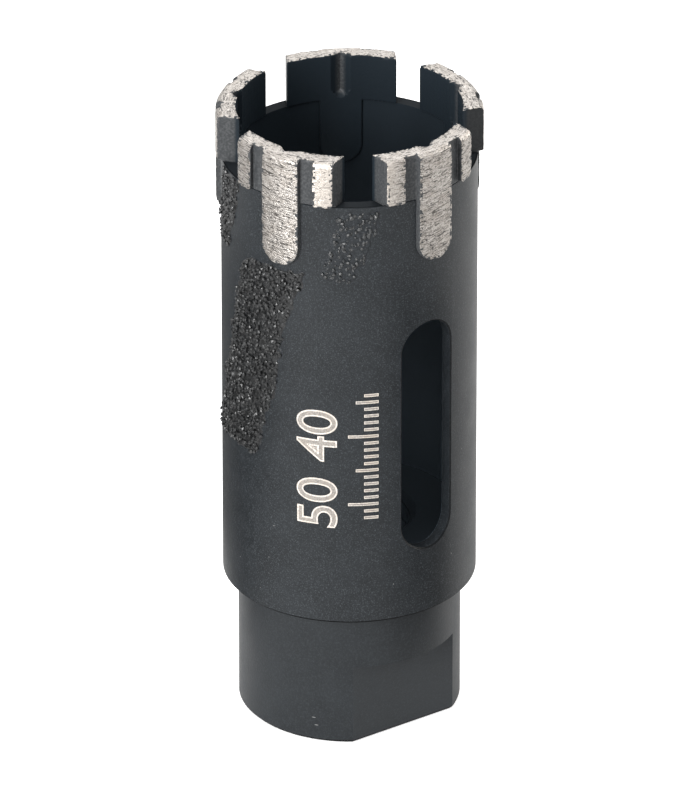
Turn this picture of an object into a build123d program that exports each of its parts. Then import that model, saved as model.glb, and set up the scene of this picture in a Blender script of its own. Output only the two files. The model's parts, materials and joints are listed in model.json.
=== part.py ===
from build123d import *
import os
from math import degrees, radians, sin, tan

# A dry-cutting core bit for stone, standing on its threaded hub with the cutting crown up.
# The axis is Z, the hub's lower face is Z = 0 and the barrel's side slot faces -Y.
# Turns are in degrees about Z, counter-clockwise from above, counted from the -Y direction.

# Crown: the cutting diameter, and how far the legs of the segments stand proud of the barrel
crown_diameter = 35.0
leg_stand_proud = 0.75

# Barrel
barrel_length = 61.1
barrel_wall = 1.7
barrel_edge_break = 0.25

# Side slot, which lets a stuck core be pushed out
side_slot_width = 8.0
side_slot_length = 33.2
side_slot_above_hub = 9.5
side_slot_edge_break = 0.2

# Sintered segments, each with a tab let into a notch in the barrel's wall
segment_count = 5
crown_turn = 2.25
segment_height = 6.6
segment_width = 14.4
segment_inside_step = 0.3
tab_width = 5.5
tab_depth = 9.2
channel_width = 1.9
side_leg_corner_radius = 0.6
groove_width = 2.5
groove_depth = 0.9

# Hub: its body below the barrel, its seat brazed into the barrel, and two wrench flats
hub_height = 19.2
hub_inside_step = 0.35
hub_edge_break = 0.4
seat_depth = 8.0
seat_edge_break = 0.5
across_flats = 24.6
flat_height = 11.45
flats_turn = -3.0

# Spindle thread, modelled as a plain hole at the thread's major diameter
spindle_thread_major = 15.875
thread_mouth_chamfer = 0.9

# Brazed grit on the outside of the barrel, in bands that lean back from the vertical by the slant's angle.
# Widths and leads are measured round the barrel's outer face.
grit_thickness = 0.35
grit_slant = 15.0
strip_top_below_rim = 10.3
strip_length = 29.0
strip_width = 10.2
strip_lead = 1.75
strip_segments = (4, 2)
patch_length = 11.6
patch_width = 5.3
patch_lead = 0.3
patch_gaps = (1, 2, 3, 4)

# How uneven the long sides of a band are, from its top down: what is added on the left and on the right
strip_unevenness = ((-0.3, 0.0), (0.2, -0.4), (0.0, -0.6), (-0.3, 0.0), (0.2, 0.3), (0.5, 0.1), (0.2, 0.3))
patch_unevenness = ((0.0, 0.0), (0.15, 0.2), (0.0, -0.15), (0.2, 0.1))

# Radii, levels and the spacing of the crown, from the sizes above
crown_radius = crown_diameter / 2
barrel_radius = crown_radius - leg_stand_proud
bore_radius = barrel_radius - barrel_wall
segment_inner_radius = bore_radius - segment_inside_step
hub_radius = bore_radius - hub_inside_step
thread_radius = spindle_thread_major / 2
rim_level = hub_height + barrel_length
crown_level = rim_level + segment_height
seat_level = hub_height + seat_depth
tab_bottom_level = rim_level - tab_depth
side_leg_width = (segment_width - tab_width) / 2 - channel_width
segment_pitch = 360 / segment_count
beyond = crown_diameter
touching = 0.001


def ring(outer_radius, inner_radius, bottom, top):
    """A round wall about Z between two levels."""
    plan = Circle(outer_radius) - Circle(inner_radius)
    return extrude(Pos(0, 0, bottom) * plan, amount=top - bottom)


def towards_front(outline):
    """The prism, from the axis towards -Y, of an outline drawn in the front view."""
    return extrude(Plane.XZ * outline, amount=beyond)


def turned(shape, turn):
    """The shape turned about Z."""
    return Rot(0, 0, turn) * shape


def upright(width, bottom, top):
    """A front-view rectangle on the axis between two levels."""
    return Pos(0, (bottom + top) / 2) * Rectangle(width, top - bottom)


def tab_outline():
    """The front view of a segment's middle leg and tab, with its full-radius lower end."""
    end_radius = tab_width / 2
    end_level = tab_bottom_level + end_radius
    return upright(tab_width, end_level, crown_level) + Pos(0, end_level) * Circle(end_radius)


def side_slot_outline():
    """The front view of the side slot, with full-radius ends."""
    centre = hub_height + side_slot_above_hub + side_slot_length / 2
    return Pos(0, centre) * SlotOverall(side_slot_length, side_slot_width, rotation=90)


def is_slot_mouth(edge):
    """True for an edge of the side slot on the barrel's outer face."""
    middle = edge.position_at(0.5)
    on_outer_face = abs(Vector(middle.X, middle.Y).length - barrel_radius) < touching
    return on_outer_face and abs(middle.X) < side_slot_width and hub_height < middle.Z < rim_level


def make_barrel():
    """The steel tube, open at both ends, with its side slot and a notch in the rim for each tab."""
    wall = ring(barrel_radius, bore_radius, hub_height, rim_level)
    wall = chamfer(wall.edges().group_by(Axis.Z)[0], barrel_edge_break)
    wall -= towards_front(side_slot_outline())
    wall = chamfer(wall.edges().filter_by(is_slot_mouth), side_slot_edge_break)
    notch = towards_front(tab_outline())
    for number in range(segment_count):
        wall -= turned(notch, crown_turn + number * segment_pitch)
    return wall


def is_thread_mouth(edge):
    """True for the edge of the thread's hole at either end of the hub."""
    level = edge.center().Z
    at_an_end = min(abs(level), abs(level - seat_level)) < touching
    return at_an_end and abs(edge.radius - thread_radius) < touching


def is_foot(edge):
    """True for an outer edge of the hub's lower face, round or along a wrench flat."""
    middle = edge.position_at(0.5)
    return abs(middle.Z) < touching and Vector(middle.X, middle.Y).length > across_flats / 2 - touching


def make_hub():
    """The turned hub: its body, the seat in the barrel, the thread's hole and two wrench flats."""
    body = ring(hub_radius, thread_radius, 0, hub_height)
    seat = ring(bore_radius, thread_radius, hub_height, seat_level)
    seat = chamfer(seat.edges().group_by(Axis.Z)[-1].sort_by(SortBy.RADIUS)[-1], seat_edge_break)
    hub = body + seat
    mouths = hub.edges().filter_by(GeomType.CIRCLE).filter_by(is_thread_mouth)
    hub = chamfer(mouths, thread_mouth_chamfer)
    waste_depth = hub_radius
    waste_place = (across_flats + waste_depth) / 2
    waste = Pos(0, -waste_place, flat_height / 2) * Box(beyond, waste_depth, flat_height)
    for side in (0, 180):
        hub -= turned(waste, flats_turn + side)
    return chamfer(hub.edges().filter_by(is_foot), hub_edge_break)


def leg_outlines():
    """The front view of a segment's three legs: the middle one and two with rounded lower corners."""
    outlines = tab_outline()
    place = (segment_width - side_leg_width) / 2
    above_rim = upright(beyond, rim_level, crown_level)
    leg = RectangleRounded(side_leg_width, 2 * segment_height, side_leg_corner_radius)
    for across in (-place, place):
        outlines += (Pos(across, crown_level) * leg) & above_rim
    return outlines


def inner_groove():
    """The cutter for the V groove down a segment's inner face, with the round foot of a V-shaped mill."""
    half_width = groove_width / 2
    inner_face = -segment_inner_radius
    foot_level = rim_level + half_width
    corners = [
        (-half_width, 0),
        (-half_width, inner_face),
        (0, inner_face - groove_depth),
        (half_width, inner_face),
        (half_width, 0),
    ]
    plan = make_face(Polyline(*corners, close=True))
    groove = extrude(Pos(0, 0, foot_level) * plan, amount=segment_height)
    tip = Rot(90, 0, 0) * Cone(half_width, 0, groove_depth)
    return groove + Pos(0, inner_face - groove_depth / 2, foot_level) * tip


def make_segment():
    """One segment facing -Y: a block on the rim with three proud legs, the middle one let into the wall."""
    block_outline = upright(segment_width, rim_level, crown_level) + tab_outline()
    block_wall = ring(barrel_radius, segment_inner_radius, tab_bottom_level, crown_level)
    leg_wall = ring(crown_radius, barrel_radius, tab_bottom_level, crown_level)
    block = block_wall & towards_front(block_outline)
    legs = leg_wall & towards_front(leg_outlines())
    return block + legs - inner_groove()


def band_outline(top, length, width, unevenness):
    """The corners of a slanted band, as distance round the barrel from the middle of its top, and level."""
    steps = len(unevenness) - 1
    left_side = []
    right_side = []
    for step, (left_more, right_more) in enumerate(unevenness):
        drop = length * step / steps
        middle = -drop * tan(radians(grit_slant))
        left_side.append((middle - width / 2 - left_more, top - drop))
        right_side.append((middle + width / 2 + right_more, top - drop))
    return right_side + left_side[::-1]


def make_grit(top, length, width, unevenness, turn):
    """A brazed layer on the barrel over a slanted band, whose top has its middle at the turn given."""
    shell = ring(barrel_radius + grit_thickness, barrel_radius, top - length, top)
    half_shift = tan(radians(grit_slant)) * length / 2
    corners = []
    for distance, level in band_outline(top, length, width, unevenness):
        corners.append((barrel_radius * sin((distance + half_shift) / barrel_radius), level))
    area = make_face(Polyline(*corners, close=True))
    return turned(shell & towards_front(area), turn - degrees(half_shift / barrel_radius))


def make_strip(segment_number):
    """A long strip of grit that starts below a segment's tab."""
    turn = crown_turn + segment_number * segment_pitch - degrees(strip_lead / barrel_radius)
    return make_grit(rim_level - strip_top_below_rim, strip_length, strip_width, strip_unevenness, turn)


def make_patch(gap_number):
    """A short patch of grit that starts at the rim, below the gap that follows a segment."""
    turn = crown_turn + (gap_number + 0.5) * segment_pitch + degrees(patch_lead / barrel_radius)
    return make_grit(rim_level, patch_length, patch_width, patch_unevenness, turn)


def make_pieces():
    """Every piece by name, in its place."""
    pieces = {"barrel": make_barrel(), "threaded_hub": make_hub()}
    segment = make_segment()
    for number in range(segment_count):
        pieces[f"segment_{number + 1}"] = turned(segment, crown_turn + number * segment_pitch)
    for number, segment_number in enumerate(strip_segments, 1):
        pieces[f"grit_strip_{number}"] = make_strip(segment_number)
    for number, gap_number in enumerate(patch_gaps, 1):
        pieces[f"grit_patch_{number}"] = make_patch(gap_number)
    return pieces


os.makedirs("parts", exist_ok=True)
for name, piece in make_pieces().items():
    export_step(piece, f"parts/{name}.step")
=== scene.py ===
import json
import math
import random

import bmesh
import bpy
import numpy as np
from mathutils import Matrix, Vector, noise
from mathutils.bvhtree import BVHTree
from mathutils.kdtree import KDTree


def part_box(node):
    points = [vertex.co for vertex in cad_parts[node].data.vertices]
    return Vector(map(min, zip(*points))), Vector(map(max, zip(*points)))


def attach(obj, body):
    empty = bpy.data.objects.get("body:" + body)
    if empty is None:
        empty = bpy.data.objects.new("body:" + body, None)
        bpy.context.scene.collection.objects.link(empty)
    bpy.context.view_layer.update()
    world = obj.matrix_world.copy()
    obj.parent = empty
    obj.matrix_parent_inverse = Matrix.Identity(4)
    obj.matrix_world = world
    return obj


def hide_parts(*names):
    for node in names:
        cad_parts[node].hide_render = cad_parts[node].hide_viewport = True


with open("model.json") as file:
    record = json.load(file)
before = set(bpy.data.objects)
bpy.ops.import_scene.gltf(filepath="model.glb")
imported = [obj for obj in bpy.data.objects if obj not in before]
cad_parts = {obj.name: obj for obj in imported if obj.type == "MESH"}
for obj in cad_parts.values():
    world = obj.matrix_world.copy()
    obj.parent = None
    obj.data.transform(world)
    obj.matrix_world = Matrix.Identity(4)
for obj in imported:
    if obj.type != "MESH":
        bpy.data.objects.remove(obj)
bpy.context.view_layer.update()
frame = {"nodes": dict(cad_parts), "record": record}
nodes = frame["nodes"]
mm = 0.001
scene = bpy.context.scene

# Named in the record: the pieces that are rebuilt here, the thread's hole and a wrench flat
segment_nodes = sorted(name for name in nodes if name.startswith("segment_"))
grit_nodes = sorted(name for name in nodes if name.startswith("grit_"))
mounts = {mount["name"]: mount for mount in frame["record"]["mounts"]}
thread_hole = mounts["spindle_thread"]
flat = mounts["wrench_flat_front"]

# Segments: fine meshes with worn and chipped edges, an uneven top and dented bare faces
segment_spacing = 0.12 * mm
weld_distance = 0.001 * mm
face_reach = 0.02 * mm
edge_rounds = 12
edge_wear_least = 0.2
edge_wear_reach = 0.5 * mm
rim_round = 0.95 * mm
chip_size = 1.2 * mm
chip_span = (-0.1, 0.5)
nick_size = 0.36 * mm
nick_span = (0.05, 0.5)
top_dip = 0.12 * mm
top_dip_size = 2.6 * mm
top_dip_reach = 0.9 * mm
top_dip_contrast = 0.5
face_dip = 0.035 * mm
face_dip_size = 0.45 * mm
face_dip_reach = 0.2 * mm
face_dip_contrast = 0.8

# Seeds: what each further kind of noise adds to a piece's own, the first grit band's own, and how far
# one seed moves the noise along X, Y and Z
nick_seed = 60
top_dip_seed = 20
face_dip_seed = 40
clump_seed = 30
first_grit_seed = 11
noise_shift = (1.0, 1.7, 2.9)

# Grinding marks: the length and width of a streak, and how far they lean on each segment
grind_length = 1.5 * mm
grind_width = 0.2 * mm
grind_tilts = (-0.1, 0.08, -0.05, 0.1, 0.13)

# The legs beside the gap that faces the camera get a painted highlight, paler and plainer metal, and one
# segment's end gets painted shade, darker paint
highlight_turn = math.radians(-38)
highlight_reach = (math.radians(15), math.radians(24))
highlight_face_depth = 0.3 * mm
painted_shade_turn = math.radians(47.5)
painted_shade_reach = (math.radians(3), math.radians(4.5))

# Grit: a lumpy coat over each band, with grains that stand out of it. One patch is thinner than others.
thin_patch = "grit_patch_4"
coat_spacing = 0.2 * mm
coat_margin = 0.8 * mm
coat_share = {thin_patch: 0.12}
coat_share_elsewhere = 0.25
coat_ragged = 0.9 * mm
coat_ragged_size = 1.2 * mm
coat_ragged_less = 0.1
coat_edge = 0.45 * mm
coat_overhang = 1.6 * coat_spacing
coat_lump = 0.07 * mm
coat_lump_size = 0.5 * mm
coat_sink = 0.04 * mm
tail_narrowing = 1.0 * mm
tail_length = 2.2 * mm
rim_gap = {thin_patch: 0.9 * mm}
rim_gap_elsewhere = 0.3 * mm
grain_spacing = 0.62 * mm
triangle_height = math.sqrt(0.75)
grain_jitter = 0.24 * mm
grain_radius = (0.2 * mm, 0.42 * mm)
grain_top = (0.26 * mm, 0.6 * mm)
grain_reach = 0.5 * mm
grain_least_depth = 0.05 * mm
grain_lower = {thin_patch: 0.12 * mm}
grain_share = {thin_patch: 0.8}
grain_share_elsewhere = 0.94
grain_clump = 0.5
grain_clump_size = 1.6 * mm
grain_squash = ((0.65, 1.1), (0.8, 1.35), (0.65, 1.0))
grain_corner = (0.8, 1.05)

# Spindle thread: 60 degree ridges, 11 turns to the inch
turns_per_inch = 11
inch = 25.4 * mm
ridge_height = 1.09 * mm
ridge_crest = 0.32 * mm
ridge_root = 0.98 * mm
ridge_into_wall = 0.04 * mm
thread_margin = 1.0 * mm
thread_steps_per_turn = 72
thread_fade_turns = 0.4

# Depth scale etched on the barrel, in millimetres from the crown's tip. Boldness is in the font's units.
photo_turn = math.radians(-38.2)
scale_numbers = (40, 50)
scale_from = 34
scale_to = 52
number_height = 5.3 * mm
number_slab = 0.01
rim_boldness = 0.015
fill_boldness = -0.012
number_foot_turn = math.radians(-5.7)
tick_foot_turn = math.radians(13.1)
tick_lengths = {10: 4.0 * mm, 5: 3.0 * mm, 1: 1.9 * mm}
tick_width = 0.42 * mm
tick_rim = 0.1 * mm
etch_depth = 0.02 * mm
etch_lift = 0.012 * mm
wrap_step = 0.45 * mm

# Camera
camera_turn = photo_turn
camera_height_angle = math.radians(27.8)
camera_distance = 1.540
camera_lens = 527
camera_sensor = 36
camera_clip = (0.01, 20)
aim_right = 0.08 * mm
aim_up = 0.05 * mm


def mesh_array(items, what, width):
    """A value of every vertex, edge or face of a mesh, as an array with one row each."""
    values = np.empty(len(items) * width)
    items.foreach_get(what, values)
    return values.reshape(-1, width) if width > 1 else values


def corner_radii(piece):
    """How far each corner of a node's mesh is from the axis."""
    points = mesh_array(piece.data.vertices, "co", 3)
    return np.hypot(points[:, 0], points[:, 1])


barrel_radius = corner_radii(nodes["barrel"]).max()
barrel_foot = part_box("barrel")[0].z
barrel_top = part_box("barrel")[1].z
bore_radius = corner_radii(nodes["barrel"]).min()
seat_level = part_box("threaded_hub")[1].z
crown_radius = corner_radii(nodes[segment_nodes[0]]).max()
crown_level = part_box(segment_nodes[0])[1].z
grit_radius = corner_radii(nodes[grit_nodes[0]]).max()
coat_thickness = grit_radius - barrel_radius
thread_radius = thread_hole["dims"]["r_mm"] * mm
thread_length = thread_hole["dims"]["length_mm"] * mm
flat_distance = Vector(flat["pos_m"]).dot(Vector(flat["axis"]))
middle_level = crown_level / 2


# Shader nodes

def add_node(tree, kind, values=None, **settings):
    """A new shader node, its inputs set to numbers or joined to other nodes' outputs."""
    made = tree.nodes.new("ShaderNode" + kind)
    for setting, value in settings.items():
        setattr(made, setting, value)
    for name, value in (values or {}).items():
        if isinstance(value, bpy.types.NodeSocket):
            tree.links.new(value, made.inputs[name])
        else:
            made.inputs[name].default_value = value
    return made


def new_material(name):
    """A new material, its node tree and its Principled shader."""
    material = bpy.data.materials.new(name)
    material.use_nodes = True
    return material, material.node_tree, material.node_tree.nodes["Principled BSDF"]


def object_place(tree):
    return add_node(tree, "TexCoord").outputs["Object"]


def attribute(tree, name, output="Fac"):
    return add_node(tree, "Attribute", attribute_name=name).outputs[output]


def noise_of(tree, place, size, detail=2.0, roughness=0.5):
    """Noise from 0 to 1 whose lumps are about the given size."""
    values = {"Vector": place, "Scale": 1 / size, "Detail": detail, "Roughness": roughness}
    return add_node(tree, "TexNoise", values).outputs["Fac"]


def cells_of(tree, place, size):
    """The distance from the middle of random cells, in cells, and a random number for each cell."""
    cells = add_node(tree, "TexVoronoi", {"Vector": place, "Scale": 1 / size})
    parts = add_node(tree, "SeparateColor", {"Color": cells.outputs["Color"]})
    return cells.outputs["Distance"], parts.outputs["Red"]


def mapped(tree, value, low, high, to_low=0.0, to_high=1.0):
    """A value eased from one range into another."""
    values = {"Value": value, "From Min": low, "From Max": high, "To Min": to_low, "To Max": to_high}
    return add_node(tree, "MapRange", values, interpolation_type="SMOOTHSTEP").outputs["Result"]


def combined(tree, operation, first, second):
    """Two values put through a math operation."""
    return add_node(tree, "Math", {0: first, 1: second}, operation=operation).outputs["Value"]


def both(tree, first, second):
    """Two values multiplied: for two masks, 1 where both are."""
    return combined(tree, "MULTIPLY", first, second)


def either(tree, *masks):
    """The largest of several masks."""
    whole = masks[0]
    for mask in masks[1:]:
        whole = combined(tree, "MAXIMUM", whole, mask)
    return whole


def inverse(tree, mask):
    """1 less a mask."""
    return combined(tree, "SUBTRACT", 1.0, mask)


def above(tree, value, limit):
    """1 where a value is more than a limit, and 0 elsewhere."""
    return combined(tree, "GREATER_THAN", value, limit)


def below(tree, value, limit):
    """1 where a value is less than a limit, and 0 elsewhere."""
    return combined(tree, "LESS_THAN", value, limit)


def between(tree, value, span, start=0.0):
    """1 where a value is inside a span, which is counted from the start, and 0 elsewhere."""
    return both(tree, above(tree, value, start + span[0]), below(tree, value, start + span[1]))


def blended(tree, share, first, second):
    """Two colours mixed, with the share of the second."""
    made = add_node(tree, "Mix", data_type="RGBA")
    for index, value in ((0, share), (6, first), (7, second)):
        if isinstance(value, bpy.types.NodeSocket):
            tree.links.new(value, made.inputs[index])
        else:
            made.inputs[index].default_value = value
    return made.outputs[2]


def grey(value, warmth=0.0):
    """A grey, as red, green, blue and alpha, a little warmer or cooler."""
    return (value * (1 + warmth), value, value * (1 - warmth), 1.0)


def bumped(tree, shader, height, depth):
    """Joins a bump of the given depth to the shader."""
    bump = add_node(tree, "Bump", {"Height": height, "Distance": depth, "Strength": 1.0})
    tree.links.new(bump.outputs["Normal"], shader.inputs["Normal"])


def level_of(tree, place):
    """The upward part of a vector."""
    return add_node(tree, "SeparateXYZ", {"Vector": place}).outputs["Z"]


def vector_of(tree, operation, first, second, output="Vector"):
    """Two vectors put through a vector operation."""
    return add_node(tree, "VectorMath", {0: first, 1: second}, operation=operation).outputs[output]


def length_of(tree, vector):
    return add_node(tree, "VectorMath", {0: vector}, operation="LENGTH").outputs["Value"]


def axis_distance(tree, place):
    """How far a place is from the axis."""
    return length_of(tree, vector_of(tree, "MULTIPLY", place, (1, 1, 0)))


def specks_of(tree, place, size, reach, share):
    """1 inside small round specks, one in each of some random cells, and 0 elsewhere."""
    distance, chance = cells_of(tree, place, size)
    inside = mapped(tree, distance, reach, reach * speck_core)
    return both(tree, inside, above(tree, chance, 1 - share))


# Materials. A span is the part of a pattern's values over which it comes in, and a share is how much
# of it is mixed in. A speck's core is the share of its reach where it is full.
noise_span = (0.3, 0.7)
speck_core = 0.6

# Paint
paint_gloss = 0.28
paint_roughness = (0.4, 0.46)
peel_roughness = (0.0, 0.05)
mottle_size = 5 * mm
peel_size = 0.34 * mm
peel_span = (0.45, 0.75)
peel_share = 0.5
peel_depth = 0.016 * mm
speckle_size = 0.16 * mm
speckle_span = (0.54, 0.7)
speckle_share_on_hub = 0.25
speckle_share_on_barrel = 0.75
hub_paleness = 0.09
painted_flat_sheen = 0.25
flat_span = (-0.005 * mm, 0.005 * mm)
hub_border = 0.1 * mm
dust_cell = 2.3 * mm
dust_reach = 0.045
dust_share = 0.3
paint_tones = (grey(0.0095, -0.2), grey(0.0145, -0.18))
peel_tone = grey(0.028, -0.15)
pale_tone = grey(0.05, -0.12)
dust_tone = grey(0.16)

# Two light scratches on the hub's foot: their middles, half their size along X, Y and Z, and as a share
# of that where they begin and where they are full
scratches = ((-12.31 * mm, -8.03 * mm, 3.5 * mm), (-12.1 * mm, -8.35 * mm, 2.4 * mm))
scratch_half_size = (0.32 * mm, 0.32 * mm, 0.07 * mm)
scratch_span = (1.0, 0.6)
scratch_tone = grey(0.2)

# Dark broken edges, which are painted shade, and the barrel's darker rim, partly its duller paint and
# partly painted shade, as spans of levels or of distances from the axis
barrel_edge_inset = 0.2 * mm
barrel_edge_span = (-0.1 * mm, 0.27 * mm)
hub_edge_radius = 11.5 * mm
hub_edge_span = (0.02 * mm, 0.42 * mm)
slot_edge_span = (-0.19 * mm, -0.01 * mm)
slot_edge_share = 0.7
rim_depth = 0.1 * mm
painted_shade_edge_tone = grey(0.003)
rim_paint_and_shade_tone = grey(0.018, -0.15)
dullness = 0.95

# Paint inside the barrel: its tone at the top, then each lower tone with the levels between which it
# gives way to the one above. Levels are counted from the hub's seat. The tones are paler than the black
# paint outside, more so lower down and on the seat: painted light in the shaded bore. The step that
# begins just below the seat is the thread's bare steel, and the lowest step darkens the thread hole's
# far wall as painted shade. The seat's rim is painted light in its groove.
inside_margin = 0.02 * mm
inside_foot = 0.2 * mm
inside_warmth = -0.2
inside_top_tone = grey(0.024, -0.25)
inside_steel_painted_light_and_shade_steps = (
    (0.06, 27.8 * mm, 47.8 * mm),
    (0.15, 0.8 * mm, 22.8 * mm),
    (0.042, 0.02 * mm, 0.08 * mm),
    (0.2, -1.2 * mm, -0.9 * mm),
    (0.05, -3.6 * mm, -3.2 * mm),
)
seat_rim_width = 0.2 * mm
seat_rim_top = 0.04 * mm
seat_rim_painted_light_tone = 0.16


def speckled(tree, place, level, paint):
    """The paint with pale speckles and dust, a little paler on the hub, and paler on its wrench flats as
    a painted sheen.
    """
    speckles = mapped(tree, noise_of(tree, place, speckle_size, detail=1.0), *speckle_span)
    shares = (speckle_share_on_hub, speckle_share_on_barrel)
    share = mapped(tree, level, barrel_foot, barrel_foot + hub_border, *shares)
    paint = blended(tree, both(tree, speckles, share), paint, pale_tone)
    on_hub = mapped(tree, level, barrel_foot - hub_border, barrel_foot, hub_paleness, 0.0)
    paint = blended(tree, on_hub, paint, pale_tone)
    # Painted sheen: the wrench flats are paler
    across = vector_of(tree, "DOT_PRODUCT", place, flat["axis"], output="Value")
    across = add_node(tree, "Math", {0: across}, operation="ABSOLUTE").outputs["Value"]
    on_flat = between(tree, across, flat_span, flat_distance)
    paint = blended(tree, both(tree, on_flat, painted_flat_sheen), paint, pale_tone)
    dust = specks_of(tree, place, dust_cell, dust_reach, dust_share)
    return blended(tree, dust, paint, dust_tone)


def scratched(tree, place, paint):
    """The paint with the scratches on the hub's foot."""
    for centre in scratches:
        away = vector_of(tree, "SUBTRACT", place, centre)
        reach = length_of(tree, vector_of(tree, "DIVIDE", away, scratch_half_size))
        paint = blended(tree, mapped(tree, reach, *scratch_span), paint, scratch_tone)
    return paint


def inside_paint(tree, level, distance):
    """The paint inside the barrel, whose tone changes with the level as painted light and shade, with
    the thread's bare steel, and painted light on the rim of the seat.
    """
    paint = inside_top_tone
    for tone, low, high in inside_steel_painted_light_and_shade_steps:
        share = mapped(tree, level, seat_level + low, seat_level + high)
        paint = blended(tree, share, grey(tone, inside_warmth), paint)
    # Painted light on the seat's rim, in its groove
    near_wall = above(tree, distance, bore_radius - seat_rim_width)
    seat_rim = both(tree, near_wall, below(tree, level, seat_level + seat_rim_top))
    return blended(tree, seat_rim, paint, grey(seat_rim_painted_light_tone, inside_warmth))


def dark_edges(tree, level, distance):
    """1 where shade is painted on the broken edges at the foot of barrel and hub, less on the slot's,
    and 0 elsewhere.
    """
    barrel_edge = both(
        tree,
        above(tree, distance, bore_radius + barrel_edge_inset),
        between(tree, level, barrel_edge_span, barrel_foot),
    )
    hub_edge = both(tree, above(tree, distance, hub_edge_radius), between(tree, level, hub_edge_span))
    slot_edge = between(tree, distance, slot_edge_span, barrel_radius)
    return either(tree, barrel_edge, hub_edge, both(tree, slot_edge, slot_edge_share))


def make_paint():
    """Satin black paint: faintly mottled, with an orange-peel texture, duller inside and on edges.
    Painted shade darkens its broken edges and, in part, its rim; painted light lifts its inside, and a
    painted sheen its wrench flats.
    """
    material, tree, shader = new_material("black_paint_with_painted_light_and_shade")
    place = object_place(tree)
    level = level_of(tree, place)
    distance = axis_distance(tree, place)
    mottle = noise_of(tree, place, mottle_size, detail=5.0, roughness=0.6)
    peel = noise_of(tree, place, peel_size)
    paint = blended(tree, mapped(tree, mottle, *noise_span), *paint_tones)
    paint = blended(tree, mapped(tree, peel, *peel_span, 0.0, peel_share), paint, peel_tone)
    paint = speckled(tree, place, level, paint)
    paint = scratched(tree, place, paint)
    inside = both(
        tree,
        below(tree, distance, bore_radius + inside_margin),
        above(tree, level, barrel_foot + inside_foot),
    )
    rim = both(tree, above(tree, level, barrel_top - rim_depth), inverse(tree, inside))
    edges = dark_edges(tree, level, distance)
    # The rim is darker: partly its duller paint, partly painted shade
    paint = blended(tree, rim, paint, rim_paint_and_shade_tone)
    # Inside, painted light and shade by level
    paint = blended(tree, inside, paint, inside_paint(tree, level, distance))
    # Painted shade on the broken edges
    paint = blended(tree, edges, paint, painted_shade_edge_tone)
    tree.links.new(paint, shader.inputs["Base Color"])
    rough = mapped(tree, mottle, *noise_span, *paint_roughness)
    rough = combined(tree, "ADD", rough, mapped(tree, peel, *noise_span, *peel_roughness))
    tree.links.new(rough, shader.inputs["Roughness"])
    dull = both(tree, either(tree, inside, edges, rim), dullness)
    gloss = both(tree, inverse(tree, dull), paint_gloss)
    tree.links.new(gloss, shader.inputs["Specular IOR Level"])
    bumped(tree, shader, peel, peel_depth)
    return material


# Border of the bare metal, which is ragged. Depths and the span are in millimetres into the bare faces.
rag_size = 0.3 * mm
rag_depth = 0.5
bite_size = 0.55 * mm
bite_span = (0.52, 0.6)
bite_depth = 0.45
bare_span = (-0.05, 0.03)

# Bare metal: streaks with fine flecks, clouds, painted light on the faces that look up, a painted
# highlight on the legs that face the camera, scores and pits
fleck_size = 0.17 * mm
streak_share = 0.7
streak_span = (0.37, 0.58)
streak_tones = (grey(0.09, 0.1), grey(0.5, 0.065))
cloud_size = 1.4 * mm
cloud_span = (0.4, 0.7)
cloud_share = 0.4
cloud_tone = grey(0.27, 0.12)
upward_light_span = (0.4, 0.9)
upward_light_share = 0.2
painted_top_light_tone = grey(0.5, 0.08)
painted_highlight_share = 0.62
painted_highlight_tone = grey(0.52, 0.1)
score_span = (0.57, 0.62)
score_share = 0.85
score_tone = grey(0.03, 0.1)
pit_cell = 0.95 * mm
pit_reach = 0.2
pit_share = 0.5
small_pit_cell = 0.45 * mm
small_pit_reach = 0.28
small_pit_share = 0.42
pit_tone = grey(0.07, 0.04)
metallic_share = 0.85
metal_roughness = (0.44, 0.28)
relief_depth = 0.03 * mm
pit_relief = -2.5
peel_relief = 0.6

# Paint on the segments: outside, paler than the barrel's paint as painted light for the sheen in the
# channels and on the flanks; at one end, darker as painted shade; and inside
segment_peel_size = 0.3 * mm
segment_peel_span = (0.35, 0.75)
segment_outside_painted_light_tones = (grey(0.043, -0.06), grey(0.078, -0.04))
painted_shade_share = 0.8
painted_shade_tone = grey(0.01, -0.1)
outside_reach = 0.5 * mm
segment_inside_tone = grey(0.02, -0.28)
segment_gloss = (paint_gloss * 0.3, paint_gloss * 0.6)


def bare_share(tree, place):
    """1 where a segment is ground bare and 0 where it is painted, with a ragged border."""
    rag = noise_of(tree, place, rag_size, detail=3.0, roughness=0.6)
    rag = both(tree, combined(tree, "SUBTRACT", rag, 0.5), rag_depth)
    bites = noise_of(tree, place, bite_size, detail=1.0)
    rag = combined(tree, "SUBTRACT", rag, mapped(tree, bites, *bite_span, 0.0, bite_depth))
    return mapped(tree, combined(tree, "ADD", attribute(tree, "bare"), rag), *bare_span)


def streaks_of(tree, place, grind):
    """Noise drawn out in the direction of grinding, with fine flecks in it."""
    streaks = both(tree, noise_of(tree, grind, 1.0, detail=4.0, roughness=0.65), streak_share)
    flecks = both(tree, noise_of(tree, place, fleck_size, roughness=0.6), 1 - streak_share)
    return combined(tree, "ADD", streaks, flecks)


def pits_of(tree, place, rough_share):
    """1 inside the metal's pits, which have two sizes and are fainter where it is smooth."""
    pits = specks_of(tree, place, pit_cell, pit_reach, pit_share)
    small_pits = specks_of(tree, place, small_pit_cell, small_pit_reach, small_pit_share)
    return both(tree, either(tree, pits, small_pits), rough_share)


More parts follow.
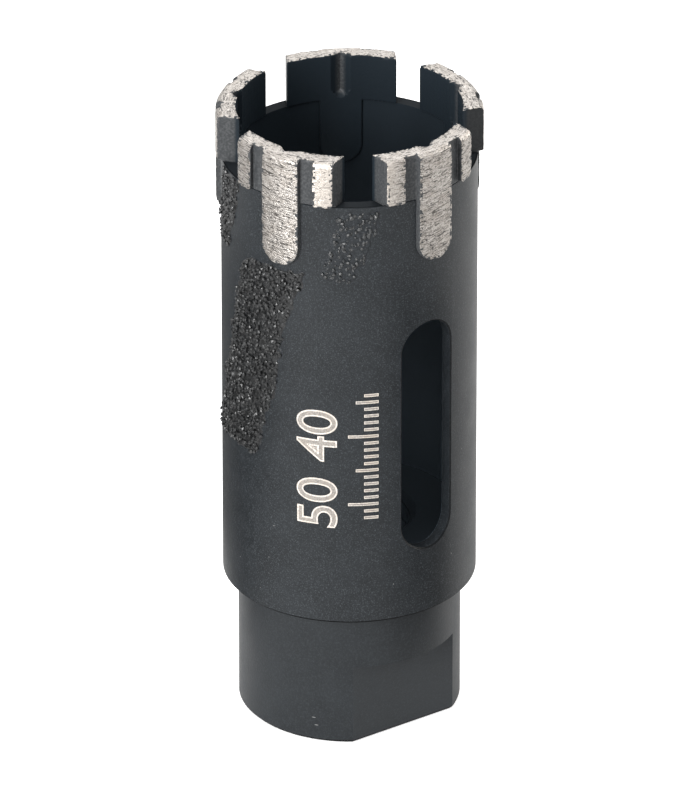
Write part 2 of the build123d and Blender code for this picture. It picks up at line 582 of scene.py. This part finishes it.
def bare_metal(tree, place, grind, streaks, smooth, pits):
    """The colour of the ground metal, with painted light on the faces that look up and a painted
    highlight on the legs that face the camera.
    """
    metal = blended(tree, mapped(tree, streaks, *streak_span), *streak_tones)
    clouds = noise_of(tree, place, cloud_size, detail=3.0)
    metal = blended(tree, mapped(tree, clouds, *cloud_span, 0.0, cloud_share), metal, cloud_tone)
    # Painted light: faces that look up are paler
    upward = level_of(tree, add_node(tree, "NewGeometry").outputs["Normal"])
    metal = blended(tree, mapped(tree, upward, *upward_light_span, 0.0, upward_light_share), metal, painted_top_light_tone)
    # Painted highlight: the legs that face the camera are paler, with fainter scores
    metal = blended(tree, smooth, metal, painted_highlight_tone)
    scores = mapped(tree, noise_of(tree, grind, 1.0), *score_span)
    scores = both(tree, scores, both(tree, inverse(tree, smooth), score_share))
    metal = blended(tree, scores, metal, score_tone)
    return blended(tree, pits, metal, pit_tone)


def segment_paint(tree, peel, outside):
    """The colour of the paint on a segment: paler outside as painted light, with painted shade at one
    end.
    """
    # Painted light: the outside paint is paler than the barrel's
    paint = blended(tree, mapped(tree, peel, *segment_peel_span), *segment_outside_painted_light_tones)
    # Painted shade: darker paint on the end that the dark attribute marks
    paint = blended(tree, both(tree, attribute(tree, "dark"), painted_shade_share), paint, painted_shade_tone)
    return blended(tree, outside, segment_inside_tone, paint)


def make_sintered():
    """Ground sintered metal with streaks and pits where it is bare, and black paint elsewhere, with
    painted light, a painted highlight and painted shade.
    """
    material, tree, shader = new_material("sintered_metal_with_painted_light_and_shade")
    place = object_place(tree)
    grind = attribute(tree, "grind", "Vector")
    bare = bare_share(tree, place)
    # Painted highlight on the legs that face the camera, where pits are fainter too
    smooth = both(tree, attribute(tree, "smooth"), painted_highlight_share)
    streaks = streaks_of(tree, place, grind)
    pits = pits_of(tree, place, inverse(tree, smooth))
    metal = bare_metal(tree, place, grind, streaks, smooth, pits)
    peel = noise_of(tree, place, segment_peel_size)
    outside = mapped(tree, axis_distance(tree, place), bore_radius, bore_radius + outside_reach)
    paint = segment_paint(tree, peel, outside)
    tree.links.new(blended(tree, bare, paint, metal), shader.inputs["Base Color"])
    gloss = mapped(tree, outside, 0.0, 1.0, *segment_gloss)
    tree.links.new(gloss, shader.inputs["Specular IOR Level"])
    metallic = both(tree, bare, combined(tree, "SUBTRACT", metallic_share, pits))
    tree.links.new(metallic, shader.inputs["Metallic"])
    tree.links.new(mapped(tree, streaks, *noise_span, *metal_roughness), shader.inputs["Roughness"])
    relief = combined(tree, "ADD", mapped(tree, streaks, *noise_span), both(tree, pits, pit_relief))
    relief = combined(tree, "ADD", both(tree, relief, bare), both(tree, peel, peel_relief))
    bumped(tree, shader, relief, relief_depth)
    return material


# Grit: the sizes of its patterns, and how much paler than its light tone its clouds and its painted
# glints are
grit_mottle_size = 0.5 * mm
grit_mottle_span = (0.35, 0.65)
grit_cloud_size = 3 * mm
grit_cloud_span = (0.45, 0.7)
grit_cloud_share = 0.3
grit_cloud_gain = 1.6
painted_glint_size = 0.26 * mm
painted_glint_span = (0.55, 0.68)
painted_glint_gain = 3.0
grit_roughness = (0.28, 0.46)
grit_bump_size = 0.12 * mm
grit_bump_depth = 0.01 * mm


def make_grit(name, dark, light, gloss):
    """Crushed grains under black paint: dark, with glossy facets and painted glints."""
    material, tree, shader = new_material(name)
    place = object_place(tree)
    mottle = noise_of(tree, place, grit_mottle_size, detail=3.0)
    clouds = noise_of(tree, place, grit_cloud_size)
    painted_glints = noise_of(tree, place, painted_glint_size, detail=1.0)
    tones = (grey(dark, warmth=-0.1), grey(light, warmth=-0.08))
    coat = blended(tree, mapped(tree, mottle, *grit_mottle_span), *tones)
    clouds = mapped(tree, clouds, *grit_cloud_span, 0.0, grit_cloud_share)
    coat = blended(tree, clouds, coat, grey(light * grit_cloud_gain))
    # Painted highlights: small glints painted paler
    coat = blended(tree, mapped(tree, painted_glints, *painted_glint_span), coat, grey(light * painted_glint_gain))
    tree.links.new(coat, shader.inputs["Base Color"])
    tree.links.new(mapped(tree, mottle, *noise_span, *grit_roughness), shader.inputs["Roughness"])
    shader.inputs["Specular IOR Level"].default_value = gloss
    bumped(tree, shader, noise_of(tree, place, grit_bump_size), grit_bump_depth)
    return material


# Etching: the sizes of its patterns, and how dark and pale its dots are beside its tone
etch_dot_size = 0.22 * mm
etch_dot_depth = 0.006 * mm
etch_cloud_size = 2 * mm
etch_cloud_span = (0.4, 0.7)
etch_cloud_share = 0.5
etch_dark = 0.72
etch_pale = 1.2
etch_metallic = 0.35
etch_roughness = 0.5


def make_etching(name, tone):
    """Steel laid bare by etching: pale, a little brown and mottled."""
    material, tree, shader = new_material(name)
    place = object_place(tree)
    dots = noise_of(tree, place, etch_dot_size)
    clouds = noise_of(tree, place, etch_cloud_size)
    tones = (grey(tone * etch_dark, warmth=0.08), grey(tone * etch_pale, warmth=0.09))
    metal = blended(tree, mapped(tree, dots, *noise_span), *tones)
    clouds = mapped(tree, clouds, *etch_cloud_span, 0.0, etch_cloud_share)
    metal = blended(tree, clouds, metal, grey(tone, warmth=0.16))
    tree.links.new(metal, shader.inputs["Base Color"])
    shader.inputs["Metallic"].default_value = etch_metallic
    shader.inputs["Roughness"].default_value = etch_roughness
    bumped(tree, shader, dots, etch_dot_depth)
    return material


# Pieces

def dress(piece, material):
    """Gives all of a piece one material."""
    piece.data.materials.clear()
    piece.data.materials.append(material)


def add_piece(name, mesh, material, replaced=None):
    """A new piece of the object, which rides on its one body."""
    piece = bpy.data.objects.new(name, mesh)
    scene.collection.objects.link(piece)
    dress(piece, material)
    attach(piece, "root")
    if replaced:
        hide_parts(replaced)
    return piece


def noise_at(points, size, seed):
    """Smooth noise at each point, from about -1 to 1, whose lumps are about the given size."""
    shift = Vector([part * seed for part in noise_shift])
    return np.array([noise.noise(Vector(point) + shift) for point in points / size])


def noise_share(points, size, seed, contrast):
    """The same noise as shares from 0 to 1."""
    return np.clip(0.5 + contrast * noise_at(points, size, seed), 0, 1)


def eased(values, low, high):
    """Values eased from 0 at the low one to 1 at the high one."""
    share = np.clip((values - low) / (high - low), 0, 1)
    return share * share * (3 - 2 * share)


def relaxed(points, edges, rounds):
    """The points after each one has gone to the middle of its neighbours, a number of times."""
    starts = np.concatenate([edges[:, 0], edges[:, 1]])
    ends = np.concatenate([edges[:, 1], edges[:, 0]])
    counts = np.bincount(starts, minlength=len(points))
    for _ in range(rounds):
        sums = [np.bincount(starts, points[ends, axis], len(points)) for axis in range(3)]
        points = np.stack(sums, axis=1) / counts[:, None]
    return points


def edge_distance(points, inside):
    """How far each point is from the nearest one of the other kind, less than 0 for those outside."""
    distances = np.empty(len(points))
    for kind, sign in ((True, 1), (False, -1)):
        others = points[inside != kind]
        tree = KDTree(len(others))
        for index, point in enumerate(others):
            tree.insert(point, index)
        tree.balance()
        for index in np.flatnonzero(inside == kind):
            distances[index] = sign * tree.find(points[index])[2]
    return distances


def fine_copy(source, spacing):
    """A mesh of small even faces that lies on a CAD node's surface."""
    welded = bmesh.new()
    welded.from_mesh(source.data)
    bmesh.ops.remove_doubles(welded, verts=welded.verts, dist=weld_distance)
    mesh = bpy.data.meshes.new("welded")
    welded.to_mesh(mesh)
    welded.free()
    work = bpy.data.objects.new("work", mesh)
    scene.collection.objects.link(work)
    even = work.modifiers.new("even", "REMESH")
    even.mode = "VOXEL"
    even.voxel_size = spacing
    snap = work.modifiers.new("snap", "SHRINKWRAP")
    snap.target = source
    depsgraph = bpy.context.evaluated_depsgraph_get()
    fine = bpy.data.meshes.new_from_object(work.evaluated_get(depsgraph))
    bpy.data.objects.remove(work)
    return fine


def rim_rounded(points):
    """The points with the crown's outer top edge worn round."""
    radius = np.hypot(points[:, 0], points[:, 1])
    outward = np.maximum(radius - (crown_radius - rim_round), 0)
    upward = np.maximum(points[:, 2] - (crown_level - rim_round), 0)
    share = np.minimum(1, rim_round / np.maximum(np.hypot(outward, upward), rim_round / 2))
    less = 1 - (1 - share) * outward / radius
    level = points[:, 2] - (1 - share) * upward
    return np.stack([points[:, 0] * less, points[:, 1] * less, level], axis=1)


def worn_points(points, normals, edges, bare_depth, seed):
    """A segment's points with its edges worn and chipped, its top uneven and its bare faces dented."""
    pull = relaxed(points, edges, edge_rounds) - points
    convex = np.sum(pull * normals, axis=1) < 0
    near_bare = convex * eased(bare_depth, -edge_wear_reach, -edge_wear_reach / 2)
    chips = eased(noise_at(points, chip_size, seed), *chip_span)
    nicks = eased(noise_at(points, nick_size, seed + nick_seed), *nick_span)
    wear = edge_wear_least + (1 - edge_wear_least) * np.maximum(chips, nicks)
    points = rim_rounded(points + pull * (near_bare * wear)[:, None])
    near_top = eased(points[:, 2], crown_level - top_dip_reach, crown_level)
    dip = noise_share(points, top_dip_size, seed + top_dip_seed, top_dip_contrast)
    points[:, 2] -= top_dip * near_top * dip
    dent = noise_share(points, face_dip_size, seed + face_dip_seed, face_dip_contrast)
    return points - normals * (face_dip * dent * eased(bare_depth, 0, face_dip_reach))[:, None]


def set_attribute(mesh, name, kind, what, values):
    """Stores a value for each vertex of a mesh."""
    stored = mesh.attributes.new(name, kind, "POINT")
    stored.data.foreach_set(what, values.astype(np.float32).ravel())


def angle_from(points, middle):
    """The angle of each point about the axis, from a middle angle."""
    turn = np.arctan2(points[:, 1], points[:, 0]) - middle
    return (turn + math.pi) % (2 * math.pi) - math.pi


def middle_angle(points):
    """The angle of the middle of some points about the axis."""
    centre = points.mean(axis=0)
    return math.atan2(centre[1], centre[0])


def near_turn(points, turn, reach):
    """1 for points about a turn from -Y, eased to 0 over a reach of angles from it."""
    return 1 - eased(np.abs(angle_from(points, turn - math.pi / 2)), *reach)


def make_segment(name, material, seed):
    """A sintered segment: ground bare on its legs and its top, painted elsewhere."""
    mesh = fine_copy(nodes[name], segment_spacing)
    points = mesh_array(mesh.vertices, "co", 3)
    normals = mesh_array(mesh.vertices, "normal", 3)
    edges = mesh_array(mesh.edges, "vertices", 2).astype(int)
    radius = np.hypot(points[:, 0], points[:, 1])
    bare = (radius > crown_radius - face_reach) | (points[:, 2] > crown_level - face_reach)
    bare_depth = edge_distance(points, bare)
    along = angle_from(points, middle_angle(points)) * crown_radius
    across = points[:, 2] + grind_tilts[seed - 1] * along
    grind = np.stack([along / grind_length, across / grind_width, radius / grind_width], axis=1)
    points = worn_points(points, normals, edges, bare_depth, seed)
    mesh.vertices.foreach_set("co", points.ravel())
    mesh.polygons.foreach_set("use_smooth", np.ones(len(mesh.polygons), bool))
    # Painted highlight on the outer faces of the legs that face the camera
    on_face = eased(radius, crown_radius - highlight_face_depth, crown_radius)
    smooth = near_turn(points, highlight_turn, highlight_reach) * on_face
    set_attribute(mesh, "bare", "FLOAT", "value", bare_depth / mm)
    set_attribute(mesh, "grind", "FLOAT_VECTOR", "vector", grind)
    set_attribute(mesh, "smooth", "FLOAT", "value", smooth)
    # The dark attribute marks the end of one segment where shade is painted
    set_attribute(mesh, "dark", "FLOAT", "value", near_turn(points, painted_shade_turn, painted_shade_reach))
    mesh.update()
    return add_piece(name + "_worn", mesh, material, name)


def rolled(arc, level, radius, middle):
    """Points about the axis. The arc is measured on the barrel's face from the middle angle."""
    turn = middle + arc / barrel_radius
    return np.stack([radius * np.cos(turn), radius * np.sin(turn), level + 0 * turn], axis=-1)


class Band:
    """One grit band unrolled: a grid of arcs and levels, and how deep inside the band each point is."""

    def __init__(self, name, seed):
        points = mesh_array(nodes[name].data.vertices, "co", 3)
        self.middle = middle_angle(points)
        arcs = angle_from(points, self.middle) * barrel_radius
        self.low = np.array([arcs.min(), points[:, 2].min()]) - coat_margin
        high = np.array([arcs.max(), points[:, 2].max()]) + coat_margin
        counts = np.ceil((high - self.low) / coat_spacing).astype(int) + 1
        self.arcs = self.low[0] + coat_spacing * np.arange(counts[0])
        self.levels = self.low[1] + coat_spacing * np.arange(counts[1])
        grid = np.stack(np.meshgrid(self.arcs, self.levels), axis=-1).reshape(-1, 2)
        flat_grid = np.concatenate([grid, np.zeros((len(grid), 1))], axis=1)
        depth = edge_distance(flat_grid, self.covers(name, points, grid))
        on_face = rolled(grid[:, 0], grid[:, 1], barrel_radius, self.middle)
        ragged = noise_at(on_face, coat_ragged_size, seed) - coat_ragged_less
        bottom = points[:, 2].min()
        tail = 1 - eased(grid[:, 1], bottom, bottom + tail_length)
        depth += coat_ragged * ragged - tail_narrowing * tail
        top = barrel_top - rim_gap.get(name, rim_gap_elsewhere)
        self.depth = np.minimum(depth, top - grid[:, 1]).reshape(len(self.levels), len(self.arcs))

    def covers(self, name, points, grid):
        """Which points of the grid lie on the CAD node: rays towards the axis meet it there."""
        faces = [tuple(face.vertices) for face in nodes[name].data.polygons]
        tree = BVHTree.FromPolygons([tuple(point) for point in points], faces)
        outside = rolled(grid[:, 0], grid[:, 1], 2 * crown_radius, self.middle)
        reach = 2 * crown_radius - barrel_radius - coat_thickness / 2
        inward = -outside * (1, 1, 0)
        hits = [tree.ray_cast(Vector(a), Vector(b), reach)[0] for a, b in zip(outside, inward)]
        return np.array([hit is not None for hit in hits])

    def depth_at(self, arcs, levels):
        """How deep inside the band some points are, from the nearest point of the grid."""
        columns = np.rint((arcs - self.low[0]) / coat_spacing).astype(int)
        rows = np.rint((levels - self.low[1]) / coat_spacing).astype(int)
        return self.depth[rows, columns]


def coat_shell(band, name, seed):
    """The lumpy coat of a band, closed below, as a bmesh."""
    arcs, levels = np.meshgrid(band.arcs, band.levels)
    on_face = rolled(arcs.ravel(), levels.ravel(), barrel_radius, band.middle)
    lumps = coat_lump * noise_at(on_face, coat_lump_size, seed).reshape(band.depth.shape)
    rise = eased(band.depth, -coat_spacing, coat_edge)
    share = coat_share.get(name, coat_share_elsewhere)
    lift = coat_thickness * share * rise + lumps * rise - coat_sink * (1 - rise)
    shell = bmesh.new()
    top = rolled(arcs, levels, barrel_radius + lift, band.middle)
    kept = band.depth > -coat_overhang
    corners = {}
    for row, column in zip(*np.nonzero(kept)):
        corners[row, column] = shell.verts.new(top[row, column])
    for row, column in list(corners):
        square = [(row, column), (row, column + 1), (row + 1, column + 1), (row + 1, column)]
        if all(corner in corners for corner in square):
            shell.faces.new([corners[corner] for corner in square]).smooth = True
    loose = [vertex for vertex in shell.verts if not vertex.link_faces]
    bmesh.ops.delete(shell, geom=loose, context="VERTS")
    bmesh.ops.solidify(shell, geom=shell.faces[:], thickness=coat_sink)
    return shell


def grain_places(band, name, seed):
    """The middle points and radii of a band's grains, thinned out."""
    dice = np.random.default_rng(seed)
    arcs = np.arange(band.arcs[0], band.arcs[-1], grain_spacing)
    levels = np.arange(band.levels[0], band.levels[-1], grain_spacing * triangle_height)
    arcs, levels = np.meshgrid(arcs, levels)
    arcs = arcs + grain_spacing / 2 * (np.arange(len(arcs)) % 2)[:, None]
    arcs = (arcs + dice.uniform(-grain_jitter, grain_jitter, arcs.shape)).ravel()
    levels = (levels + dice.uniform(-grain_jitter, grain_jitter, levels.shape)).ravel()
    arcs = np.clip(arcs, band.arcs[0], band.arcs[-1])
    levels = np.clip(levels, band.levels[0], band.levels[-1])
    on_face = rolled(arcs, levels, barrel_radius, band.middle)
    clumps = noise_at(on_face, grain_clump_size, seed + clump_seed)
    share = grain_share.get(name, grain_share_elsewhere) * (1 + grain_clump * clumps)
    kept = (band.depth_at(arcs, levels) > grain_least_depth) & (dice.random(len(arcs)) < share)
    radii = dice.uniform(*grain_radius, kept.sum())
    tops = dice.uniform(*grain_top, kept.sum()) - grain_lower.get(name, 0)
    return rolled(arcs[kept], levels[kept], barrel_radius + tops - radii, band.middle), radii


def add_grains(shell, centres, radii, seed):
    """Adds angular grains to a shell: squashed and jittered 20-sided crystals."""
    dice = random.Random(seed)
    crystal = bmesh.new()
    bmesh.ops.create_icosphere(crystal, subdivisions=1, radius=1.0)
    corners = [vertex.co.copy() for vertex in crystal.verts]
    faces = [[vertex.index for vertex in face.verts] for face in crystal.faces]
    crystal.free()
    for centre, radius in zip(centres, radii):
        turn = Vector([dice.gauss(0, 1) for _ in range(3)]).to_track_quat("Z", "Y")
        squash = Vector([dice.uniform(*span) for span in grain_squash])
        made = []
        for corner in corners:
            shaped = turn @ (corner * squash * dice.uniform(*grain_corner))
            place = Vector(centre) + shaped * radius
            less = min(1, (barrel_radius + grain_reach) / place.xy.length)
            made.append(shell.verts.new((place.x * less, place.y * less, place.z)))
        for face in faces:
            shell.faces.new([made[index] for index in face]).material_index = 1


def make_grit_piece(name, coat_material, grain_material, seed):
    """A grit band: its coat with its grains."""
    band = Band(name, seed)
    shell = coat_shell(band, name, seed)
    centres, radii = grain_places(band, name, seed)
    add_grains(shell, centres, radii, seed)
    mesh = bpy.data.meshes.new(name)
    shell.to_mesh(mesh)
    shell.free()
    on_grains = mesh_array(mesh.polygons, "material_index", 1).astype(int)
    piece = add_piece(name + "_grains", mesh, coat_material, name)
    mesh.materials.append(grain_material)
    mesh.polygons.foreach_set("material_index", on_grains)
    return piece


def make_thread(material):
    """The ridge of the spindle thread, a right-handed helix on the wall of the hub's hole."""
    pitch = inch / turns_per_inch
    bottom = thread_margin + ridge_root
    turns = (thread_length - ridge_root - bottom) / pitch
    steps = round(turns * thread_steps_per_turn)
    wall = thread_radius + ridge_into_wall
    ridge = bmesh.new()
    rings = []
    for step in range(steps + 1):
        done = step / thread_steps_per_turn
        fade = eased(np.array(min(done, steps / thread_steps_per_turn - done)), 0, thread_fade_turns)
        crest = wall - (ridge_height + ridge_into_wall) * float(fade)
        level = bottom + pitch * done
        turn = math.tau * done
        profile = ((wall, -ridge_root), (crest, -ridge_crest), (crest, ridge_crest), (wall, ridge_root))
        ring = []
        for radius, up in profile:
            ring.append(ridge.verts.new((radius * math.cos(turn), radius * math.sin(turn), level + up)))
        rings.append(ring)
    for first, second in zip(rings, rings[1:]):
        for index in range(len(first)):
            after = (index + 1) % len(first)
            ridge.faces.new((first[index], first[after], second[after], second[index]))
    ridge.faces.new(rings[0][::-1])
    ridge.faces.new(rings[-1])
    bmesh.ops.recalc_face_normals(ridge, faces=ridge.faces)
    mesh = bpy.data.meshes.new("thread")
    ridge.to_mesh(mesh)
    ridge.free()
    return add_piece("spindle_thread_ridge", mesh, material)


# Depth scale

def number_mesh(text, boldness=0.0):
    """A number as a thin slab in the font's own units, with its middle at x = 0."""
    curve = bpy.data.curves.new("number", "FONT")
    curve.body = text
    curve.align_x = "CENTER"
    curve.offset = boldness
    curve.extrude = number_slab
    work = bpy.data.objects.new("number", curve)
    scene.collection.objects.link(work)
    depsgraph = bpy.context.evaluated_depsgraph_get()
    mesh = bpy.data.meshes.new_from_object(work.evaluated_get(depsgraph))
    bpy.data.objects.remove(work)
    return mesh


def number_shape(text, boldness):
    """A number as a bmesh: x in the reading direction, y up the number, z out of the barrel."""
    plain = mesh_array(number_mesh(text).vertices, "co", 3)
    low = plain.min(axis=0)
    size = number_height / (plain.max(axis=0) - low)[1]
    shape = bmesh.new()
    shape.from_mesh(number_mesh(text, boldness))
    for vertex in shape.verts:
        outward = etch_depth if vertex.co.z > 0 else 0.0
        vertex.co = Vector((vertex.co.x * size, (vertex.co.y - low[1]) * size, outward))
    return shape


def tick_shape(length, width):
    """A tick as a bmesh: its length is up the number, its width in the reading direction."""
    shape = bmesh.new()
    bmesh.ops.create_cube(shape, size=1.0)
    for vertex in shape.verts:
        across, up, outward = vertex.co
        vertex.co = Vector((across * width, (up + 0.5) * length, (outward + 0.5) * etch_depth))
    return shape


def wrap_on_barrel(shape, depth_mark, foot_turn, lift):
    """Cuts a flat shape into strips and bends it round the barrel at a depth from the crown's tip."""
    tallest = max(vertex.co.y for vertex in shape.verts)
    for cut in np.arange(wrap_step, tallest, wrap_step):
        everything = shape.verts[:] + shape.edges[:] + shape.faces[:]
        bmesh.ops.bisect_plane(shape, geom=everything, plane_co=(0, cut, 0), plane_no=(0, 1, 0))
    for vertex in shape.verts:
        turn = photo_turn + foot_turn - vertex.co.y / barrel_radius
        radius = barrel_radius + lift + vertex.co.z
        level = crown_level - depth_mark * mm + vertex.co.x
        vertex.co = Vector((radius * math.sin(turn), -radius * math.cos(turn), level))


def scale_shapes(boldness, tick_less, lift):
    """Every number and tick of the depth scale, bent round the barrel."""
    shapes = []
    for number in scale_numbers:
        shape = number_shape(str(number), boldness)
        wrap_on_barrel(shape, number, number_foot_turn, lift)
        shapes.append(shape)
    for mark in range(scale_from, scale_to + 1):
        step = max(step for step in tick_lengths if mark % step == 0)
        shape = tick_shape(tick_lengths[step] - tick_less, tick_width - tick_less)
        bmesh.ops.translate(shape, verts=shape.verts, vec=(0, tick_less / 2, 0))
        wrap_on_barrel(shape, mark, tick_foot_turn, lift)
        shapes.append(shape)
    return shapes


def joined(name, shapes):
    """One mesh made of several bmeshes."""
    whole = bmesh.new()
    for shape in shapes:
        part = bpy.data.meshes.new("part")
        shape.to_mesh(part)
        shape.free()
        whole.from_mesh(part)
        bpy.data.meshes.remove(part)
    mesh = bpy.data.meshes.new(name)
    whole.to_mesh(mesh)
    whole.free()
    return mesh


def make_scale(rim_material, fill_material):
    """The etched depth scale: a bright rim, and a duller fill a hair above it."""
    rim = joined("depth_scale_rim", scale_shapes(rim_boldness, tick_less=0.0, lift=0.0))
    fill_shapes = scale_shapes(fill_boldness, tick_less=2 * tick_rim, lift=etch_lift)
    fill = joined("depth_scale_fill", fill_shapes)
    add_piece("depth_scale_rim", rim, rim_material)
    add_piece("depth_scale_fill", fill, fill_material)


# Studio: the floor's glow near the axis and far from it, with the span of distances, and its surface
floor_glow_near = 0.6
floor_glow_far = 0.68
floor_glow_reach = (0.25, 0.9)
floor_gloss_glow = 0.2
floor_tone = grey(0.8)
floor_roughness = 0.9
floor_gloss = 0.1
white = grey(1.0)
warm_light = (1, 0.96, 0.9)


def direction(turn, height_angle):
    """The unit vector towards a turn about Z, counted from -Y, and a height angle."""
    flat_part = math.cos(height_angle)
    return Vector((math.sin(turn) * flat_part, -math.cos(turn) * flat_part, math.sin(height_angle)))


def camera_side(turn, height_angle=0):
    """The unit vector towards a turn, counted from the camera's, and a height angle, both in degrees."""
    return direction(camera_turn + math.radians(turn), math.radians(height_angle))


def face_towards(thing, ahead):
    """Turns a light, card or camera so that its own Z axis points ahead."""
    thing.rotation_euler = ahead.to_track_quat("Z", "Y").to_euler()


def seen_directly(tree):
    """1 for what the camera, gloss and glass see of a surface, and 0 for the light that it gives."""
    path = add_node(tree, "LightPath")
    kinds = ("Is Camera Ray", "Is Glossy Ray", "Is Transmission Ray")
    return either(tree, *[path.outputs[kind] for kind in kinds])


def make_world(light_strength):
    """White where it is seen, and a softer light on the object."""
    world = bpy.data.worlds.new("studio")
    scene.world = world
    world.use_nodes = True
    tree = world.node_tree
    strength = mapped(tree, seen_directly(tree), 0.0, 1.0, light_strength, 1.0)
    background = tree.nodes["Background"]
    background.inputs["Color"].default_value = white
    tree.links.new(strength, background.inputs["Strength"])


def add_sheet(name, size):
    """A flat square of the studio, with its middle at the origin."""
    shape = bmesh.new()
    bmesh.ops.create_grid(shape, x_segments=1, y_segments=1, size=size / 2)
    mesh = bpy.data.meshes.new(name)
    shape.to_mesh(mesh)
    shape.free()
    sheet = bpy.data.objects.new(name, mesh)
    scene.collection.objects.link(sheet)
    return sheet


def make_floor(size):
    """A pale floor that reads as white where it is seen and keeps the object's shadow."""
    floor = add_sheet("floor", size)
    material, tree, shader = new_material("pale_floor")
    shader.inputs["Base Color"].default_value = floor_tone
    shader.inputs["Roughness"].default_value = floor_roughness
    shader.inputs["Specular IOR Level"].default_value = floor_gloss
    shader.inputs["Emission Color"].default_value = white
    path = add_node(tree, "LightPath")
    distance = axis_distance(tree, object_place(tree))
    glow = mapped(tree, distance, *floor_glow_reach, floor_glow_near, floor_glow_far)
    glow = both(tree, path.outputs["Is Camera Ray"], glow)
    gloss_glow = both(tree, path.outputs["Is Glossy Ray"], floor_gloss_glow)
    strength = combined(tree, "ADD", glow, gloss_glow)
    tree.links.new(strength, shader.inputs["Emission Strength"])
    dress(floor, material)


def make_light(name, turn, height_angle, distance, size, power, tint=(1, 1, 1)):
    """A soft light, turned towards the middle of the object. Its angles are in degrees."""
    lamp = bpy.data.lights.new(name, "AREA")
    lamp.shape = "RECTANGLE"
    lamp.size, lamp.size_y = size
    lamp.energy = power
    lamp.color = tint
    light = bpy.data.objects.new(name, lamp)
    scene.collection.objects.link(light)
    away = camera_side(turn, height_angle)
    light.location = Vector((0, 0, middle_level)) + away * distance
    face_towards(light, away)


def make_card(turn, facing, distance, width, height, tone):
    """A grey card that stands close by the object and shows only in its gloss. Turns are in degrees."""
    card = add_sheet("grey_card", 1.0)
    card.scale = (width, height, 1)
    card.location = camera_side(turn) * distance + Vector((0, 0, height / 2))
    face_towards(card, camera_side(facing))
    card.visible_camera = False
    card.visible_diffuse = False
    card.visible_shadow = False
    card.visible_transmission = False
    material, _, shader = new_material("grey_card")
    shader.inputs["Base Color"].default_value = grey(tone)
    shader.inputs["Roughness"].default_value = 1.0
    shader.inputs["Specular IOR Level"].default_value = 0.0
    dress(card, material)


def make_camera():
    """The camera at the photograph's viewing angle, with the object's middle in the same place."""
    data = bpy.data.cameras.new("camera")
    data.lens = camera_lens
    data.sensor_width = camera_sensor
    data.clip_start, data.clip_end = camera_clip
    camera = bpy.data.objects.new("camera", data)
    scene.collection.objects.link(camera)
    away = direction(camera_turn, camera_height_angle)
    turned = away.to_track_quat("Z", "Y")
    aim = Vector((0, 0, middle_level)) + turned @ Vector((aim_right, aim_up, 0))
    camera.location = aim + away * camera_distance
    face_towards(camera, away)
    scene.camera = camera


paint_with_painted_light_and_shade = make_paint()
sintered_with_painted_light_and_shade = make_sintered()
grain_with_painted_glints = make_grit("grain_with_painted_glints", dark=0.003, light=0.013, gloss=0.6)
coat_with_painted_glints = make_grit("coat_with_painted_glints", dark=0.003, light=0.012, gloss=0.4)
# The thin patch's grains are paler than the paint over them: painted highlights
thin_grain_with_painted_highlights = make_grit("thin_grain_with_painted_highlights", dark=0.006, light=0.036, gloss=0.55)
dress(nodes["barrel"], paint_with_painted_light_and_shade)
dress(nodes["threaded_hub"], paint_with_painted_light_and_shade)
for seed, name in enumerate(segment_nodes, 1):
    make_segment(name, sintered_with_painted_light_and_shade, seed)
for seed, name in enumerate(grit_nodes, first_grit_seed):
    if name == thin_patch:
        make_grit_piece(name, paint_with_painted_light_and_shade, thin_grain_with_painted_highlights, seed)
    else:
        make_grit_piece(name, coat_with_painted_glints, grain_with_painted_glints, seed)
make_thread(paint_with_painted_light_and_shade)
make_scale(make_etching("etched_rim", tone=0.62), make_etching("etched_fill", tone=0.28))

make_world(light_strength=0.4)
make_floor(size=8.0)
make_light("key", turn=-39, height_angle=20, distance=0.9, size=(0.3, 0.5), power=9.8)
make_light("fill", turn=75, height_angle=35, distance=0.9, size=(0.4, 0.4), power=0.8)
make_light(
    "right_rim",
    turn=125,
    height_angle=22,
    distance=0.8,
    size=(0.25, 0.5),
    power=3.3,
    tint=warm_light,
)
make_light("top", turn=-20, height_angle=75, distance=0.9, size=(0.6, 0.6), power=3.0)
make_light("back_top", turn=180, height_angle=48, distance=0.9, size=(0.6, 0.4), power=2.6)
make_card(turn=-125, facing=-125, distance=0.05, width=0.24, height=0.053, tone=0.4)
make_card(turn=-90, facing=-115, distance=0.0374, width=0.022, height=0.05, tone=0.2)
make_card(turn=53, facing=75, distance=0.0368, width=0.034, height=0.055, tone=0.2)
make_camera()
scene.view_settings.view_transform = "Standard"
